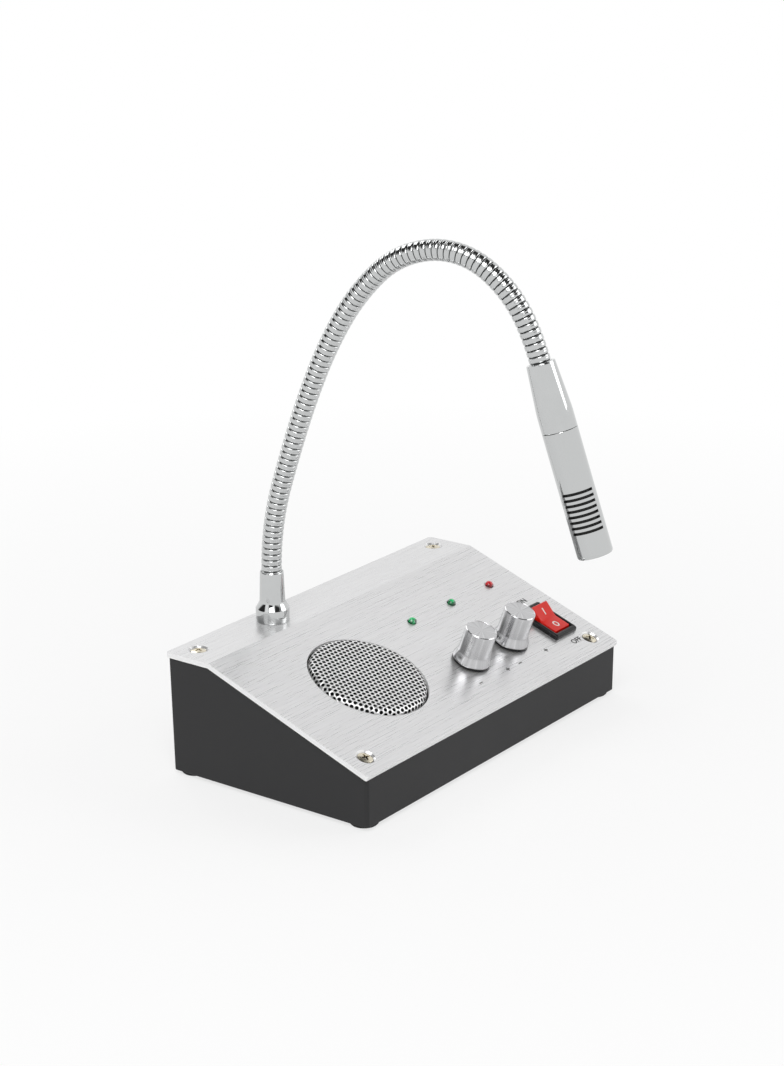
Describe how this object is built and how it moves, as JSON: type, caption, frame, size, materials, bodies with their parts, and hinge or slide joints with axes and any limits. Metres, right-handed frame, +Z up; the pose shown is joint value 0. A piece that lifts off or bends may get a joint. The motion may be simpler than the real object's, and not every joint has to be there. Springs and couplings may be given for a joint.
{
  "type": "teller window intercom",
  "caption": "Desk intercom for a service window: sloped metal top on a dark housing, round speaker grille, volume knobs, lamps, red rocker switch and a gooseneck microphone.",
  "frame": {"origin": "centre of the housing's flat underside; the rubber feet reach 1.5 mm below it", "axes": "+X to the clerk's right, +Y away from the clerk to the rear wall with the sockets, +Z up"},
  "size_m": [0.17, 0.1495, 0.2057],
  "materials": {
    "housing_plastic": "fine moulded grain",
    "panel_metal": "brushed along its length",
    "bright_metal": "polished plating",
    "grille_metal": "satin plating",
    "knob_metal": "turned and polished",
    "fastener_steel": "nickel plated",
    "bezel_plastic": "moulded",
    "rocker_plastic": "moulded, red",
    "green_lens": "cast resin, green",
    "red_lens": "cast resin, red",
    "black_rubber": "moulded",
    "basket_paint": "black",
    "cone_paper": "coated paper cone",
    "ferrite": "sintered ring, plated yoke",
    "board_laminate": "solder resist",
    "component_plastic": "moulded",
    "connector_plastic": "moulded",
    "contact_brass": "tinned",
    "pot_metal": "plated case"
  },
  "bodies": {
    "base": {"housing": "housing_plastic", "top_panel": "panel_metal", "panel_screws": "fastener_steel", "rubber_feet": "black_rubber", "speaker_grille": "grille_metal", "speaker_basket": "basket_paint", "speaker_cone": "cone_paper", "speaker_magnet": "ferrite", "inside_volume_pot": "pot_metal", "outside_volume_pot": "pot_metal", "pot_washers": "fastener_steel", "pot_nuts": "fastener_steel", "inside_level_lamp": "green_lens", "outside_level_lamp": "green_lens", "power_lamp": "red_lens", "switch_body": "bezel_plastic", "switch_terminals": "contact_brass", "control_board": "board_laminate", "amplifier_chip": "component_plastic", "board_capacitors": "component_plastic", "board_connectors": "connector_plastic", "power_socket": "bezel_plastic", "audio_socket": "bezel_plastic", "socket_nuts": "fastener_steel", "neck_ferrule": "bright_metal", "neck_washer": "fastener_steel", "neck_nut": "fastener_steel", "hose_root": "bright_metal"},
    "inside_volume": {"inside_volume_knob": "knob_metal", "inside_volume_shaft": "pot_metal"},
    "outside_volume": {"outside_volume_knob": "knob_metal", "outside_volume_shaft": "pot_metal"},
    "power_rocker": {"switch_rocker": "rocker_plastic"},
    "hose_1": {"hose_link_1": "bright_metal"},
    "hose_2": {"hose_link_2": "bright_metal"},
    "hose_3": {"hose_link_3": "bright_metal"},
    "hose_4": {"hose_link_4": "bright_metal"},
    "hose_5": {"hose_link_5": "bright_metal"},
    "hose_6": {"hose_link_6": "bright_metal"},
    "hose_7": {"hose_link_7": "bright_metal"},
    "hose_8": {"hose_link_8": "bright_metal"},
    "microphone": {"hose_tip": "bright_metal", "mic_neck": "bright_metal", "mic_barrel": "bright_metal", "capsule_holder": "black_rubber", "mic_capsule": "pot_metal"}
  },
  "joints": [
    {"name": "inside_volume_turn", "type": "hinge", "parent": "base", "child": "inside_volume", "pos_m": [0.013, -0.02617, 0.03517], "axis": [0, -0.3428, 0.9394], "range_deg": [-150, 150]},
    {"name": "outside_volume_turn", "type": "hinge", "parent": "base", "child": "outside_volume", "pos_m": [0.04, -0.02617, 0.03517], "axis": [0, -0.3428, 0.9394], "range_deg": [-150, 150]},
    {"name": "power_rocker_tilt", "type": "hinge", "parent": "base", "child": "power_rocker", "pos_m": [0.067, -0.02418, 0.02972], "axis": [-1, 0, 0], "range_deg": [0, 30]},
    {"name": "hose_bend_1", "type": "hinge", "parent": "base", "child": "hose_1", "pos_m": [-0.03379, 0.03646, 0.08048], "axis": [0.9848, 0.1736, 0], "range_deg": [-14, 10]},
    {"name": "hose_sway_2", "type": "hinge", "parent": "hose_1", "child": "hose_2", "pos_m": [-0.03296, 0.03175, 0.10396], "axis": [0.1661, -0.9418, -0.2924], "range_deg": [-20, 20]},
    {"name": "hose_bend_3", "type": "hinge", "parent": "hose_2", "child": "hose_3", "pos_m": [-0.03167, 0.02445, 0.12678], "axis": [0.9848, 0.1736, 0], "range_deg": [-8, 8]},
    {"name": "hose_bend_4", "type": "hinge", "parent": "hose_3", "child": "hose_4", "pos_m": [-0.03018, 0.01598, 0.14919], "axis": [0.9848, 0.1736, 0], "range_deg": [-14, 8]},
    {"name": "hose_sway_5", "type": "hinge", "parent": "hose_4", "child": "hose_5", "pos_m": [-0.02829, 0.00526, 0.17055], "axis": [0.1488, -0.8441, -0.515], "range_deg": [-20, 20]},
    {"name": "hose_bend_6", "type": "hinge", "parent": "hose_5", "child": "hose_6", "pos_m": [-0.0257, -0.00941, 0.18928], "axis": [0.9848, 0.1736, 0], "range_deg": [-32, 8]},
    {"name": "hose_bend_7", "type": "hinge", "parent": "hose_6", "child": "hose_7", "pos_m": [-0.02203, -0.03024, 0.19982], "axis": [0.9848, 0.1736, 0], "range_deg": [-39, 3]},
    {"name": "hose_bend_8", "type": "hinge", "parent": "hose_7", "child": "hose_8", "pos_m": [-0.01807, -0.05271, 0.19456], "axis": [0.9848, 0.1736, 0], "range_deg": [-37, 3]},
    {"name": "hose_bend_9", "type": "hinge", "parent": "hose_8", "child": "microphone", "pos_m": [-0.01539, -0.06789, 0.1765], "axis": [0.9848, 0.1736, 0], "range_deg": [-22, 12]}
  ]
}
